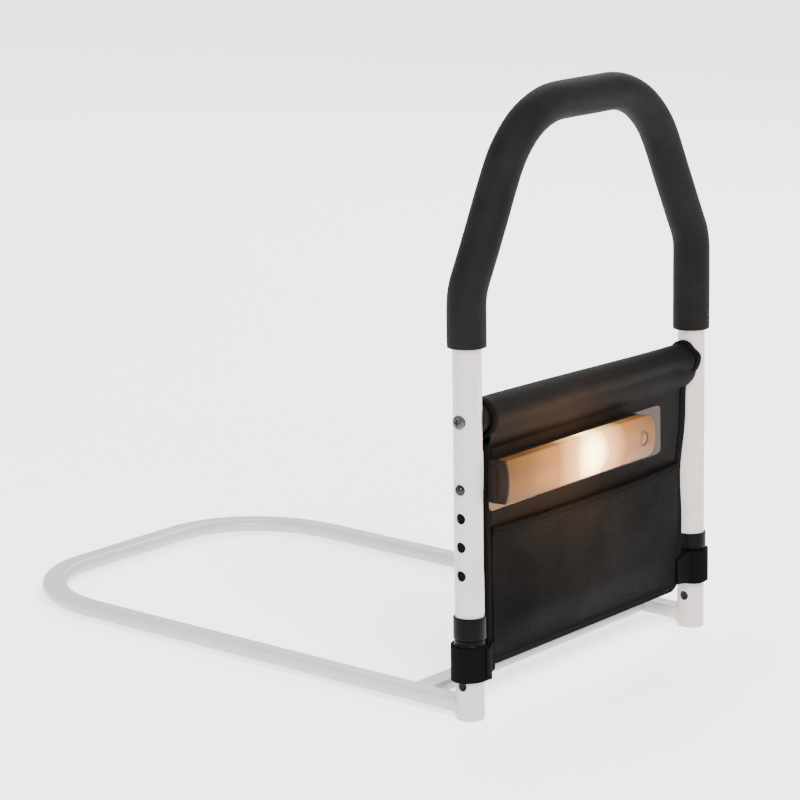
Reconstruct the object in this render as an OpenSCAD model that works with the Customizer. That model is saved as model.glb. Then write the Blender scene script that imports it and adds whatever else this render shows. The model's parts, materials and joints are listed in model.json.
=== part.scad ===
// Bed assist rail: a hoop that lies under the mattress, two posts, a foam-covered
// handle with four heights, and a fabric bag with a clip-on lamp between the posts.
// X runs along the bedside, +Y goes in under the mattress and +Z is up.
// The origin is on the floor, in the middle of the whole object.

/* [Overall] */
// Width over the two posts
frame_w = 340; // [320:1:420]
// Depth from the front of the posts to the far side of the hoop
frame_d = 495; // [410:1:620]
// Height to the top of the grip at the lowest setting
frame_h = 470; // [465:1:570]
// Lean of the posts over the hoop, in degrees
post_lean = 3; // [0:0.5:5]

/* [Tubes] */
// Outer diameter of the posts and the handle tube
tube_d = 22; // [19:0.1:26.5]
// Wall of every round and flat tube
tube_wall = 1.2; // [0.9:0.05:1.5]
// Radial gap between the handle legs and the tubes that they slide on
slide_gap = 0.3; // [0.2:0.05:0.5]
// Width of the flat-sided hoop tube
rail_w = 21; // [18:0.5:22]
// Height of the flat-sided hoop tube
rail_h = 11; // [9:0.5:14]
// Height of the crossbar tube
crossbar_h = 10; // [8:0.5:12]
// Clearance between the hoop and the floor
rail_floor = 4; // [0.5:0.5:6]
// Radius of the hoop's far corners, at the middle of the tube
hoop_r = 96; // [60:1:120]
// Distance from the posts to the middle of the crossbar
crossbar_back = 50; // [40:1:70]

/* [Hoop dimples] */
// Distance of the first dimple from the post
dimple_near = 114; // [85:1:140]
// Distance of the second dimple from the start of the far corner
dimple_far = 35; // [10:1:100]
// Depth of a dimple
dimple_depth = 0.9; // [0.3:0.1:1]

/* [Posts] */
// Height of a post stub
stub_h = 62; // [60:0.5:66]
// Height of the cross hole through each stub
cross_hole_z = 27; // [18:0.5:27.5]
// Diameter of the cross hole
cross_hole_d = 8; // [5:0.5:8.5]
// Thickness of the foot plug's visible end
foot_t = 3; // [2.6:0.1:3.4]
// Depth of the foot plug inside the stub
foot_spigot = 9; // [6:0.5:9.5]
// Height of the inner tube's lower end
inner_low = 34; // [33:0.5:37]
// Height of the inner tube's upper end
inner_top = 199; // [190:1:205]
// Height of the rivet that holds the inner tube
rivet_z = 44.5; // [43.5:0.5:45.5]
// Shank diameter of the rivet
rivet_d = 3.6; // [3:0.1:4]

/* [Collars] */
// Wall of a collar outside the tube
collar_wall = 1.5; // [1.2:0.1:1.8]
// Height of the cup that takes the handle leg
collar_cup = 16; // [12:0.5:20]
// Height of the skirt that grips the stub
collar_skirt = 11.5; // [10:0.1:12]
// Thickness of the shoulder that the handle leg rests on
collar_shoulder = 2; // [1.5:0.5:3]

/* [Height setting] */
// Height of the spring button
catch_z = 178.5; // [173:0.5:181]
// Distance between two height holes
hole_pitch = 22; // [18:0.5:23.5]
// Number of heights
levels = 4; // [2:1:4]
// Diameter of the button
button_d = 7.8; // [6:0.1:8]
// Clearance round the button in its holes
button_gap = 0.3; // [0.15:0.05:0.4]
// How far the button stands out of the leg
button_out = 3.5; // [2.5:0.1:4]
// Thickness of the leaf spring
leaf_t = 0.8; // [0.6:0.1:1]
// Width of the leaf spring
leaf_w = 8; // [6:0.5:9]
// Length of the leaf spring below the button
leaf_l = 34; // [25:1:45]

/* [Handle] */
// Lean of the handle's sides above the legs, in degrees
side_lean = 29; // [20:1:34]
// Radius of the bend at the foot of each leaning side
side_bend_r = 41; // [25:1:50]
// Radius of the bends at the top
top_bend_r = 91; // [70:1:94]
// Height of the arch above the straight legs
arch_rise = 141; // [138:1:150]
// Wall of the foam on the handle
foam_t = 4; // [3:0.1:5]
// Height of the foam's left end above the bag bar
foam_left_up = 55; // [30:1:60]
// Height of the foam's right end above the bag bar
foam_right_up = 20; // [19:1:60]

/* [Bag bar] */
// Height of the bag bar
bar_z = 230; // [222:1:234]
// Diameter of the bag bar
bar_d = 16; // [16:0.5:19.5]
// Wall of the foam on the bar
bar_foam_t = 5; // [3:0.1:6]
// Diameter of the screws that hold the bar
screw_d = 6; // [4:0.5:7]
// Diameter of the screw heads
screw_head_d = 10.3; // [9:0.1:12]
// Height of the screw heads
screw_head_h = 3; // [2:0.1:4]
// Length of the threaded plugs in the bar
plug_l = 20; // [15:1:30]

/* [Bag] */
// Thickness of the bag's fabric panel
panel_t = 2; // [1:0.1:3]
// Distance of the middle of the panel in front of the bar's axis
panel_forward = 4; // [3:0.1:6]
// Height of the bag's lower edge
bag_low = 42; // [41:0.5:46]
// Gap between the left leg and the bag
bag_left_gap = 5; // [4.5:0.5:20]
// Gap between the right leg and the top of the bag
bag_right_gap = 5; // [4.5:0.5:25]
// How much narrower the bag is at the bottom
bag_taper = 11; // [0:0.5:16]
// Radius of the bag's lower corners
bag_corner_r = 14; // [11:0.5:25]
// Thickness of the bag sleeve
sleeve_t = 2; // [1:0.1:2.5]
// Extra radius of the sleeve's right mouth
sleeve_flare = 3; // [0:0.5:3.5]
// Length of the sleeve's right mouth
sleeve_mouth = 34; // [20:1:40]
// Width of the binding tape
binding_w = 8; // [6:0.5:9.5]
// Thickness of the binding over both faces
binding_t = 4.2; // [3.6:0.1:5]
// Height of the pocket's mouth
pocket_top = 144; // [120:1:150]
// Depth of the pocket at its widest
pocket_depth = 15; // [10:0.5:18]
// Thickness of the pocket's mesh
mesh_t = 1.5; // [1:0.1:2]

/* [Straps] */
// Width of a strap
strap_w = 27; // [20:0.5:28]
// Thickness of a strap
strap_t = 1.4; // [1:0.1:1.6]
// Gap between a strap and the collar
strap_gap = 0.4; // [0.3:0.05:0.5]
// Height of the left strap's lower edge
left_strap_z = 31; // [29.5:0.5:33]
// Height of the right strap's lower edge
right_strap_z = 39; // [36:0.5:40]

/* [Lamp] */
// Length of the lamp
lamp_l = 206; // [160:1:230]
// Height of the lamp
lamp_h = 33; // [26:0.5:34]
// Depth of the lamp
lamp_depth = 18; // [16:0.5:22]
// Depth of the lamp's back tray
tray_depth = 6; // [5:0.5:7]
// Height of the lamp's middle
lamp_z = 181; // [178:1:184]
// Distance of the lamp from the left edge of the bag
lamp_inset = 1; // [0:0.5:30]
// Wall of the lamp's shells
lamp_wall = 1.5; // [1.2:0.1:1.8]
// Bulge of the lamp's front
lamp_bulge = 3; // [1:0.1:4]
// Thickness of the lamp's end cap
cap_t = 3; // [2:0.5:4]
// Length of the clear sheet behind the lamp
sheet_l = 244; // [232:1:250]
// Height of the clear sheet
sheet_h = 40; // [36:1:44]
// How far the middle of the clear sheet is below the middle of the lamp
sheet_drop = 4; // [0:0.5:6]
// Thickness of the clear sheet
sheet_t = 0.6; // [0.4:0.1:1]
// Length of the steel strip that the lamp's magnets hold
strip_l = 180; // [140:1:200]
// Height of the steel strip
strip_h = 14; // [10:1:20]
// Thickness of the steel strip
strip_t = 1; // [0.8:0.1:1.5]
// Thickness of the lamp's circuit board
board_t = 1.2; // [0.8:0.1:1.6]
// Number of light chips
led_count = 14; // [6:1:18]
// Diameter of the sensor's ring
sensor_d = 12.5; // [9:0.5:14]
// Distance of the sensor from the lamp's right end
sensor_in = 16; // [14:1:30]
// Travel of the lamp's mode switch
switch_travel = 4; // [2:0.5:5]

/* [Hidden] */
$fn = 48;

cut = 1;                                  // how far a cutting shape runs past a face
post_x = (frame_w - tube_d) / 2;
tube_r = tube_d / 2;
bore_d = tube_d - 2 * tube_wall;
inner_d = bore_d - 2 * slide_gap;
inner_bore = inner_d - 2 * tube_wall;
rail_z = rail_floor + rail_h / 2;
far_y = frame_d - tube_r - rail_w / 2;
corner_x = post_x - hoop_r;
corner_y = far_y - hoop_r;
dimple_y = [dimple_near, corner_y - dimple_far];
dimple_r = 5;

collar_r = tube_r + collar_wall;
collar_low = stub_h - collar_skirt;
cup_floor = stub_h + collar_shoulder;
cup_top = cup_floor + collar_cup;
groove_depth = 0.9;
leg_low = cup_floor + 0.2;

foam_d = tube_d + 2 * foam_t;
top_z = (frame_h - foam_d / 2) / cos(post_lean);
bend_z = top_z - arch_rise;
side_x = post_x - side_bend_r * (1 - cos(side_lean));
side_z = bend_z + side_bend_r * sin(side_lean);
top_bend_z = top_z - top_bend_r;
side_l = (top_bend_z + top_bend_r * sin(side_lean) - side_z) / cos(side_lean);
top_half = side_x - side_l * sin(side_lean) - top_bend_r * cos(side_lean);
top_overlap = 5;                          // the two halves share this much on each side
foam_left_z = bar_z + foam_left_up;
foam_right_z = bar_z + foam_right_up;

bar_foam_d = bar_d + 2 * bar_foam_t;
bar_bore = bar_d - 2 * tube_wall;
leg_face = post_x - tube_r;               // inner face of a leg
sleeve_end = leg_face - 1;
sleeve_in_r = bar_foam_d / 2 + 0.3;
sleeve_r = sleeve_in_r + sleeve_t;

panel_back = -panel_forward + panel_t / 2;
panel_front = -panel_forward - panel_t / 2;
binding_front = -panel_forward - binding_t / 2;
bag_left = -leg_face + bag_left_gap;
bag_right = leg_face - bag_right_gap;
bag_right_low = bag_right - bag_taper;
cloth_gap = 0.2;                          // between the binding and what lies inside it
// what the binding's round inner corner takes from a square corner, across and up
pocket_corner = (bag_corner_r - binding_w) * (1 - sqrt(1 / 2)) + cloth_gap;
pocket_low = bag_low + binding_w + pocket_corner;
pocket_left = bag_left + binding_w + pocket_corner;
pocket_right = bag_right_low - binding_w - pocket_corner;
pocket_mouth = 0.75 * pocket_depth;       // the mouth is drawn in a little
belly_low = 16;                           // height of the widest part above the lower edge
belly_h = 34;

strap_in_r = collar_r + strap_gap;
strap_out_r = strap_in_r + strap_t;

lamp_x0 = bag_left + lamp_inset;
lamp_x1 = lamp_x0 + lamp_l;
sheet_x0 = bag_left + binding_w + cloth_gap;
sheet_front = panel_front - sheet_t;
lamp_back = sheet_front - strip_t;
lamp_corner_r = 6;
cap_screw_d = 2;
cap_screw_head_d = 3.6;
lamp_low = lamp_z - lamp_h / 2;
board_d0 = tray_depth;                    // depths count forwards from the lamp's back
led_d0 = board_d0 + board_t;
sensor_x = lamp_x1 - sensor_in;
switch_z = lamp_z + 5;
port_z = lamp_z - 6;

// a post's own Y and Z, leant over, give this distance from the foot of the posts
function leant_y(y, z) = y * cos(post_lean) + z * sin(post_lean);

// the posts stand in front of the origin, so that the origin is in the middle
front_y = min(leant_y(panel_front - pocket_depth, pocket_low + belly_low),
    leant_y(lamp_back - lamp_depth, lamp_low), -tube_r);
post_y = -(frame_d - tube_r + front_y) / 2;

module at_base() {
    translate([0, post_y, 0]) children();
}

// the posts' own frame: Z runs up a post, and X and Z are in the plane of the handle
module at_posts() {
    at_base() rotate([-post_lean, 0, 0]) children();
}

module at_post(side) {
    at_posts() translate([side * post_x, 0, 0]) children();
}

// the two stubs' outer surface, which the rails are cut to fit
module post_cutter() {
    for (side = [-1, 1]) rotate([-post_lean, 0, 0])
        translate([side * post_x, 0, -cut]) cylinder(d = tube_d, h = stub_h);
}

// a round tube standing on z = low
module round_tube(d, bore, low, high) {
    difference() {
        translate([0, 0, low]) cylinder(d = d, h = high - low);
        translate([0, 0, low - cut]) cylinder(d = bore, h = high - low + 2 * cut);
    }
}

// a cylinder along X, from x0 to x1
module x_rod(d, x0, x1) {
    translate([x0, 0, 0]) rotate([0, 90, 0]) cylinder(d = d, h = x1 - x0);
}

// a flat drawing in X and Z, made solid forwards from y = back
module upright_plate(back, t) {
    translate([0, back, 0]) rotate([90, 0, 0]) linear_extrude(t) children();
}

// a box in the lamp: x and z ranges, and a depth range from the lamp's back
module lamp_box(x0, x1, z0, z1, d0, d1) {
    translate([x0, lamp_back - d1, z0]) cube([x1 - x0, d1 - d0, z1 - z0]);
}

// a cylinder in the lamp that points forwards
module lamp_disc(d, x, z, d0, d1) {
    translate([x, lamp_back - d0, z]) rotate([90, 0, 0]) cylinder(d = d, h = d1 - d0);
}

// ---- base ----

module oval(w, h) {
    square([w - h, h], center = true);
    for (side = [-1, 1])
        translate([side * (w - h) / 2, 0]) circle(d = h);
}

module hoop_solid(w, h, start) {
    for (side = [0, 1]) mirror([side, 0, 0]) {
        translate([post_x, start, rail_z]) rotate([-90, 0, 0])
            linear_extrude(corner_y - start) oval(w, h);
        translate([corner_x, corner_y, rail_z])
            rotate_extrude(angle = 90) translate([hoop_r, 0]) oval(w, h);
    }
    translate([-corner_x, far_y, rail_z]) rotate([90, 0, 90])
        linear_extrude(2 * corner_x) oval(w, h);
}

module base_hoop() {
    color("whitesmoke") at_base() difference() {
        hoop_solid(rail_w, rail_h, 0);
        hoop_solid(rail_w - 2 * tube_wall, rail_h - 2 * tube_wall, -cut);
        post_cutter();
        for (side = [-1, 1], y = dimple_y)
            translate([side * post_x, y, rail_z + rail_h / 2 + dimple_r - dimple_depth])
                sphere(r = dimple_r);
    }
}

module crossbar_solid(w, h) {
    translate([-post_x, crossbar_back, rail_z]) rotate([90, 0, 90])
        linear_extrude(2 * post_x) oval(w, h);
}

module base_crossbar() {
    color("whitesmoke") at_base() difference() {
        crossbar_solid(rail_w, crossbar_h);
        crossbar_solid(rail_w - 2 * tube_wall, crossbar_h - 2 * tube_wall);
        hoop_solid(rail_w, rail_h, 0);
    }
}

module rivet_hole() {
    translate([0, 0, rivet_z]) rotate([90, 0, 0]) cylinder(d = rivet_d, h = tube_d);
}

module stub(side) {
    color("whitesmoke") at_post(side) difference() {
        round_tube(tube_d, bore_d, foot_t, stub_h);
        translate([0, 0, cross_hole_z]) x_rod(cross_hole_d, -tube_d, tube_d);
        rivet_hole();
    }
}

module left_stub() { stub(-1); }
module right_stub() { stub(1); }

// the plug starts low enough for the floor to cut its leaning end flat
module foot_plug(side) {
    edge_r = foot_t / 2;
    low = -tube_r * sin(post_lean);
    color("white") difference() {
        at_post(side) {
            rotate_extrude() {
                translate([0, low]) square([tube_r - edge_r, foot_t - low]);
                translate([0, low + edge_r]) square([tube_r, foot_t - low - edge_r]);
                translate([tube_r - edge_r, low + edge_r]) circle(r = edge_r);
            }
            translate([0, 0, edge_r]) cylinder(d = bore_d, h = foot_t - edge_r + foot_spigot);
        }
        translate([-frame_w, -frame_d, -foot_t]) cube([2 * frame_w, frame_d, foot_t]);
    }
}

module left_foot_plug() { foot_plug(-1); }
module right_foot_plug() { foot_plug(1); }

module inner_tube(side) {
    color("dimgray") at_post(side) difference() {
        round_tube(inner_d, inner_bore, inner_low, inner_top);
        translate([0, 0, catch_z]) rotate([0, side * 90, 0])
            cylinder(d = button_d + 2 * button_gap, h = tube_d);
        rivet_hole();
    }
}

module left_inner_tube() { inner_tube(-1); }
module right_inner_tube() { inner_tube(1); }

module rivet() {
    head_d = 6;
    head_out = 1;
    tail_in = inner_bore / 2 - 1.2;
    translate([0, 0, rivet_z]) rotate([90, 0, 0])
        translate([0, 0, tail_in]) cylinder(d = rivet_d, h = tube_r - tail_in);
    difference() {
        translate([0, 0, rivet_z]) rotate([90, 0, 0])
            cylinder(d = head_d, h = tube_r + head_out);
        cylinder(d = tube_d, h = stub_h);
    }
    intersection() {
        translate([0, 0, rivet_z]) rotate([90, 0, 0])
            translate([0, 0, tail_in]) cylinder(d = head_d - 1, h = tube_r);
        cylinder(d = inner_bore, h = stub_h);
    }
}

module tube_rivets() {
    color("silver") for (side = [-1, 1]) at_post(side) rivet();
}

module collar(side) {
    groove_low = collar_low + collar_skirt - 2.6;
    groove_high = groove_low + 2.4;
    color([0.12, 0.12, 0.12]) at_post(side) rotate_extrude() polygon([
        [tube_r, collar_low], [collar_r, collar_low],
        [collar_r, groove_low - 1], [collar_r - groove_depth, groove_low],
        [collar_r - groove_depth, groove_high], [collar_r, groove_high + 1],
        [collar_r, cup_top - 0.5], [collar_r - 0.4, cup_top],
        [tube_r + slide_gap, cup_top], [tube_r + slide_gap, cup_floor],
        [inner_d / 2, cup_floor], [inner_d / 2, stub_h], [tube_r, stub_h]]);
}

module left_collar() { collar(-1); }
module right_collar() { collar(1); }

// ---- height catches ----

leaf_x = inner_bore / 2 - 1.4;            // outer face of the leaf spring's legs

module leaf_spring(side) {
    low = catch_z - leaf_l;
    high = catch_z + leaf_w / 2;
    color("silver") at_post(side) translate([0, leaf_w / 2, 0]) rotate([90, 0, 0])
        linear_extrude(leaf_w) difference() {
            union() {
                polygon([[-leaf_x, high], [-leaf_x, low + leaf_x],
                    [leaf_x, low + leaf_x], [leaf_x, high]]);
                translate([0, low + leaf_x]) circle(r = leaf_x);
            }
            polygon([[-leaf_x + leaf_t, high + cut], [-leaf_x + leaf_t, low + leaf_x],
                [leaf_x - leaf_t, low + leaf_x], [leaf_x - leaf_t, high + cut]]);
            translate([0, low + leaf_x]) circle(r = leaf_x - leaf_t);
        }
}

module left_leaf_spring() { leaf_spring(-1); }
module right_leaf_spring() { leaf_spring(1); }

module snap_button(side) {
    ball_x = tube_r + button_out - button_d / 2;
    color("gainsboro") at_post(side) translate([side * leaf_x, 0, catch_z]) rotate([0, side * 90, 0]) {
        cylinder(d = button_d, h = ball_x - leaf_x);
        intersection() {
            translate([0, 0, ball_x - leaf_x]) sphere(d = button_d);
            cylinder(d = 2 * button_d, h = tube_d);
        }
    }
}

module left_snap_button() { snap_button(-1); }
module right_snap_button() { snap_button(1); }

// ---- handle ----

// a straight rod along Z; what follows it starts at its end
module run(d, l) {
    cylinder(d = d, h = l);
    translate([0, 0, l]) children();
}

// a rod along Z that bends towards -X; what follows it starts at its end
module bend(d, r, turn) {
    translate([-r, 0, 0]) {
        intersection() {
            rotate([0, -turn, 0]) rotate([90, 0, 0])
                rotate_extrude(angle = 90, start = 270) translate([r, 0]) circle(d = d);
            translate([-d, -d, 0]) cube([r + 2 * d, 2 * d, r + d]);
        }
        rotate([0, -turn, 0]) translate([r, 0, 0]) children();
    }
}

// from the foot of one leg, up and over to just past the middle of the top
module half_handle(d, low) {
    translate([post_x, 0, low])
        run(d, bend_z - low) bend(d, side_bend_r, side_lean)
            run(d, side_l) bend(d, top_bend_r, 90 - side_lean) run(d, top_half + top_overlap);
}

module handle_solid(d, left_low, right_low) {
    mirror([1, 0, 0]) half_handle(d, left_low);
    half_handle(d, right_low);
}

module handle_tube() {
    color("whitesmoke") at_posts() difference() {
        handle_solid(tube_d, leg_low, leg_low);
        handle_solid(bore_d, leg_low - cut, leg_low - cut);
        for (side = [-1, 1]) translate([side * post_x, 0, 0]) {
            for (i = [0 : levels - 1])
                translate([0, 0, catch_z - i * hole_pitch]) rotate([0, side * 90, 0])
                    cylinder(d = button_d + 2 * button_gap, h = tube_d);
            translate([0, 0, bar_z]) x_rod(screw_d, -tube_d, tube_d);
        }
    }
}

module foam_grip() {
    color([0.16, 0.16, 0.16]) at_posts() difference() {
        handle_solid(foam_d, foam_left_z, foam_right_z);
        handle_solid(tube_d, foam_left_z - cut, foam_right_z - cut);
    }
}

module bag_bar() {
    color("whitesmoke") at_posts() difference() {
        translate([0, 0, bar_z]) x_rod(bar_d, -post_x, post_x);
        translate([0, 0, bar_z]) x_rod(bar_bore, -post_x - cut, post_x + cut);
        for (side = [-1, 1])
            translate([side * post_x, 0, bar_z - tube_d]) cylinder(d = tube_d, h = 2 * tube_d);
    }
}

module bar_foam() {
    color([0.2, 0.2, 0.2]) at_posts() translate([0, 0, bar_z]) difference() {
        x_rod(bar_foam_d, -leg_face + 0.5, leg_face - 0.5);
        x_rod(bar_d, -leg_face, leg_face);
    }
}

module bar_plugs() {
    color("silver") at_posts() for (side = [0, 1]) mirror([side, 0, 0])
        translate([0, 0, bar_z]) difference() {
            x_rod(bar_bore, leg_face - plug_l, leg_face);
            x_rod(screw_d, leg_face - plug_l - cut, leg_face + cut);
        }
}

module bar_screw() {
    dome_r = 8;
    shank_in = leg_face - plug_l + 5;
    seat = post_x + tube_r;
    sink = 1.2;                           // how far the head's edge wraps the round leg
    slot_w = 1.1;
    slot_l = 5;
    translate([0, 0, bar_z]) x_rod(screw_d, shank_in, seat);
    difference() {
        translate([seat - sink, 0, bar_z]) rotate([0, 90, 0]) intersection() {
            cylinder(d = screw_head_d, h = sink + screw_head_h);
            translate([0, 0, sink + screw_head_h - dome_r]) sphere(r = dome_r);
        }
        translate([post_x, 0, bar_z - tube_d]) cylinder(d = tube_d, h = 2 * tube_d);
        for (turn = [0, 90]) translate([seat + screw_head_h, 0, bar_z]) rotate([turn, 0, 0])
            cube([2 * 1.6, slot_l, slot_w], center = true);
    }
}

module bar_screws() {
    color("gainsboro") at_posts() for (side = [0, 1]) mirror([side, 0, 0]) bar_screw();
}

// ---- bag ----

module sleeve_solid(r, grow) {
    mouth = sleeve_end - sleeve_mouth;
    translate([0, 0, bar_z]) rotate([0, 90, 0]) rotate_extrude() polygon([
        [0, -sleeve_end - grow], [r, -sleeve_end - grow], [r, mouth],
        [r + sleeve_flare, sleeve_end + grow], [0, sleeve_end + grow]]);
}

module bag_sleeve() {
    color([0.17, 0.17, 0.17]) at_posts() difference() {
        sleeve_solid(sleeve_r, 0);
        sleeve_solid(sleeve_in_r, cut);
    }
}

// the bag's outline, drawn in by inset on its sides and its lower edge
module bag_outline(inset, top) {
    x0 = bag_left + inset;
    x1 = bag_right - inset;
    x2 = bag_right_low - inset;
    z0 = bag_low + inset;
    r = bag_corner_r - inset;
    polygon([[x0, top], [x0, z0 + r], [x0 + r, z0], [x2 - r, z0], [x2, z0 + r], [x1, top]]);
    for (x = [x0 + r, x2 - r]) translate([x, z0 + r]) circle(r = r);
}

module panel_solid() {
    upright_plate(panel_back, panel_t) bag_outline(0, bar_z - sleeve_r / 2);
}

module bag_panel() {
    color([0.17, 0.17, 0.17]) at_posts() difference() {
        panel_solid();
        sleeve_solid(sleeve_r, cut);
    }
}

module bag_binding() {
    back = -panel_forward + binding_t / 2;
    top = bar_z - sleeve_r / 2;
    color([0.1, 0.1, 0.1]) at_posts() difference() {
        upright_plate(back, binding_t) bag_outline(-1, top);
        upright_plate(back + cut, binding_t + 2 * cut) bag_outline(binding_w, top + cut);
        panel_solid();
        sleeve_solid(sleeve_r, cut);
    }
}

// the pocket's section in Y and Z: depth of the belly, depth of the mouth
module pocket_section(back, belly, mouth, low, top) {
    polygon([[back, low], [back - 0.6 * belly, low], [back - belly, low + belly_low],
        [back - belly, low + belly_low + belly_h], [back - mouth, top], [back, top]]);
}

module pocket_solid(inset, lift) {
    translate([pocket_left + inset, 0, 0]) rotate([90, 0, 90])
        linear_extrude(pocket_right - pocket_left - 2 * inset)
            pocket_section(panel_front, pocket_depth - inset, pocket_mouth - inset,
                pocket_low + inset, pocket_top + lift);
}

module mesh_pocket() {
    color([0.22, 0.22, 0.22]) at_posts() difference() {
        pocket_solid(0, 0);
        pocket_solid(mesh_t, 0);
        translate([pocket_left + mesh_t, panel_front - pocket_mouth + mesh_t, pocket_top - cut])
            cube([pocket_right - pocket_left - 2 * mesh_t, pocket_mouth - mesh_t, 2 * cut]);
    }
}

module pocket_hem() {
    fold = 0.8;                           // thickness of the tape on each face
    drop = 7;
    back = panel_front - pocket_mouth + mesh_t + fold;
    color([0.1, 0.1, 0.1]) at_posts() difference() {
        translate([pocket_left, back - mesh_t - 2 * fold - 0.6, pocket_top - drop])
            cube([pocket_right - pocket_left, mesh_t + 2 * fold + 0.6, drop + fold]);
        pocket_solid(0, 0);
        translate([pocket_left - cut, back - mesh_t - fold, pocket_top - drop - cut])
            cube([frame_w, mesh_t + fold + cut, drop + cut]);
    }
}

module strap(side, low, tab_end) {
    tab_low = max(low, bag_low + 1);
    at_posts() difference() {
        union() {
            translate([side * post_x, 0, low]) cylinder(r = strap_out_r, h = strap_w);
            translate([min(side * (post_x - collar_r), tab_end), binding_front - strap_t, tab_low])
                cube([abs(side * (post_x - collar_r) - tab_end), strap_t, low + strap_w - tab_low]);
        }
        translate([side * post_x, 0, low - cut])
            cylinder(r = strap_in_r, h = strap_w + 2 * cut);
    }
}

module left_strap() {
    color([0.08, 0.08, 0.08]) strap(-1, left_strap_z, bag_left + binding_w);
}

module right_strap() {
    color([0.08, 0.08, 0.08]) strap(1, right_strap_z, bag_right_low - binding_w / 2);
}

// ---- lamp ----

module lamp_sheet() {
    color([0.85, 0.83, 0.8, 0.5]) at_posts()
        translate([sheet_x0, sheet_front, lamp_z - sheet_drop - sheet_h / 2])
            cube([lamp_x0 + sheet_l - sheet_x0, sheet_t, sheet_h]);
}

module lamp_strip() {
    color("silver") at_posts()
        translate([(lamp_x0 + lamp_x1 - strip_l) / 2, lamp_back, lamp_z - strip_h / 2])
            cube([strip_l, strip_t, strip_h]);
}

// the lamp's face: square at the left end, round corners at the right end
module lamp_face(inset) {
    r = lamp_corner_r - inset;
    x0 = lamp_x0;
    x1 = lamp_x1 - inset;
    z0 = lamp_low + inset;
    z1 = lamp_low + lamp_h - inset;
    translate([x0, z0]) square([x1 - r - x0, z1 - z0]);
    translate([x0, z0 + r]) square([x1 - x0, z1 - z0 - 2 * r]);
    for (z = [z0 + r, z1 - r]) translate([x1 - r, z]) circle(r = r);
}

module lamp_plate(inset, d0, d1) {
    upright_plate(lamp_back - d0, d1 - d0) lamp_face(inset);
}

// a bar with a bulging front, as long as the lamp
module bulged_bar(inset, x0, x1) {
    half = lamp_h / 2;
    bulge_r = (half * half + lamp_bulge * lamp_bulge) / (2 * lamp_bulge);
    translate([x0, lamp_back, lamp_z]) rotate([90, 0, 90]) linear_extrude(x1 - x0)
        translate([inset + bulge_r - lamp_depth, 0]) circle(r = bulge_r, $fn = 96);
}

// both places of the screws that hold the lamp's end cap
module at_cap_screws() {
    screw_edge = 3.5;
    screw_back = 5;
    for (side = [-1, 1])
        translate([lamp_x0, lamp_back - lamp_depth + screw_back,
            lamp_z + side * (lamp_h / 2 - screw_edge)]) children();
}

module lamp_tray() {
    knob_hole = switch_travel + 4.4;
    color([0.25, 0.24, 0.23]) at_posts() difference() {
        lamp_plate(0, 0, tray_depth);
        difference() {
            lamp_plate(lamp_wall, lamp_wall, tray_depth + cut);
            lamp_box(lamp_x0 - cut, lamp_x0 + lamp_wall, lamp_low, lamp_low + lamp_h,
                0, tray_depth + 2 * cut);
        }
        lamp_box(lamp_x1 - 2 * lamp_wall, lamp_x1 + cut, switch_z - knob_hole / 2,
            switch_z + knob_hole / 2, 2, 4.4);
        lamp_box(lamp_x1 - 2 * lamp_wall, lamp_x1 + cut, port_z - 4.5, port_z + 4.5, 1.6, 4.8);
    }
}

module lamp_magnets() {
    magnet_l = 20;
    magnet_h = 10;
    color("silver") at_posts() for (x = [lamp_x0 + 30, lamp_x1 - 50])
        lamp_box(x, x + magnet_l, lamp_z - magnet_h / 2, lamp_z + magnet_h / 2,
            lamp_wall, lamp_wall + 2);
}

module lamp_battery() {
    mid = (lamp_x0 + lamp_x1) / 2;
    color("steelblue") at_posts()
        lamp_box(mid - 32, mid + 32, lamp_z - 11, lamp_z + 11, lamp_wall, tray_depth - 0.4);
}

module lamp_board() {
    color("honeydew") at_posts()
        lamp_box(lamp_x0 + cap_t, lamp_x1 - lamp_corner_r - lamp_wall, lamp_low + lamp_wall,
            lamp_low + lamp_h - lamp_wall, board_d0, led_d0);
}

module lamp_leds() {
    led_w = 3.5;
    led_h = 2.8;
    led_t = 0.8;
    first = lamp_x0 + 14;
    last = sensor_x - 14;
    color("khaki") at_posts() for (i = [0 : led_count - 1]) {
        x = first + i * (last - first) / (led_count - 1);
        lamp_box(x - led_w / 2, x + led_w / 2, lamp_z - led_h / 2, lamp_z + led_h / 2,
            led_d0, led_d0 + led_t);
    }
}

module lamp_sensor() {
    color("silver") at_posts()
        lamp_disc(sensor_d - 4, sensor_x, lamp_z, led_d0, lamp_depth - 4);
}

module lamp_diffuser() {
    boss_d = 5;
    color([0.95, 0.85, 0.7]) at_posts() difference() {
        union() {
            difference() {
                intersection() {
                    bulged_bar(0, lamp_x0 + cap_t, lamp_x1 + cut);
                    lamp_plate(0, tray_depth, lamp_depth);
                }
                intersection() {
                    bulged_bar(lamp_wall, lamp_x0 - cut, lamp_x1 + cut);
                    lamp_plate(lamp_wall, tray_depth - cut, lamp_depth);
                }
            }
            at_cap_screws() x_rod(boss_d, cap_t, cap_t + 9);
        }
        lamp_disc(sensor_d, sensor_x, lamp_z, lamp_depth - 2 * lamp_wall, lamp_depth + cut);
        at_cap_screws() x_rod(cap_screw_d, 0, cap_t + 7);
    }
}

module lamp_end_cap() {
    color([0.3, 0.25, 0.2]) at_posts() difference() {
        intersection() {
            bulged_bar(0, lamp_x0 - cut, lamp_x0 + cap_t);
            lamp_plate(0, tray_depth, lamp_depth);
        }
        at_cap_screws() {
            x_rod(cap_screw_d, -cut, cap_t + cut);
            x_rod(cap_screw_head_d, -cut, 1);
        }
    }
}

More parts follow.
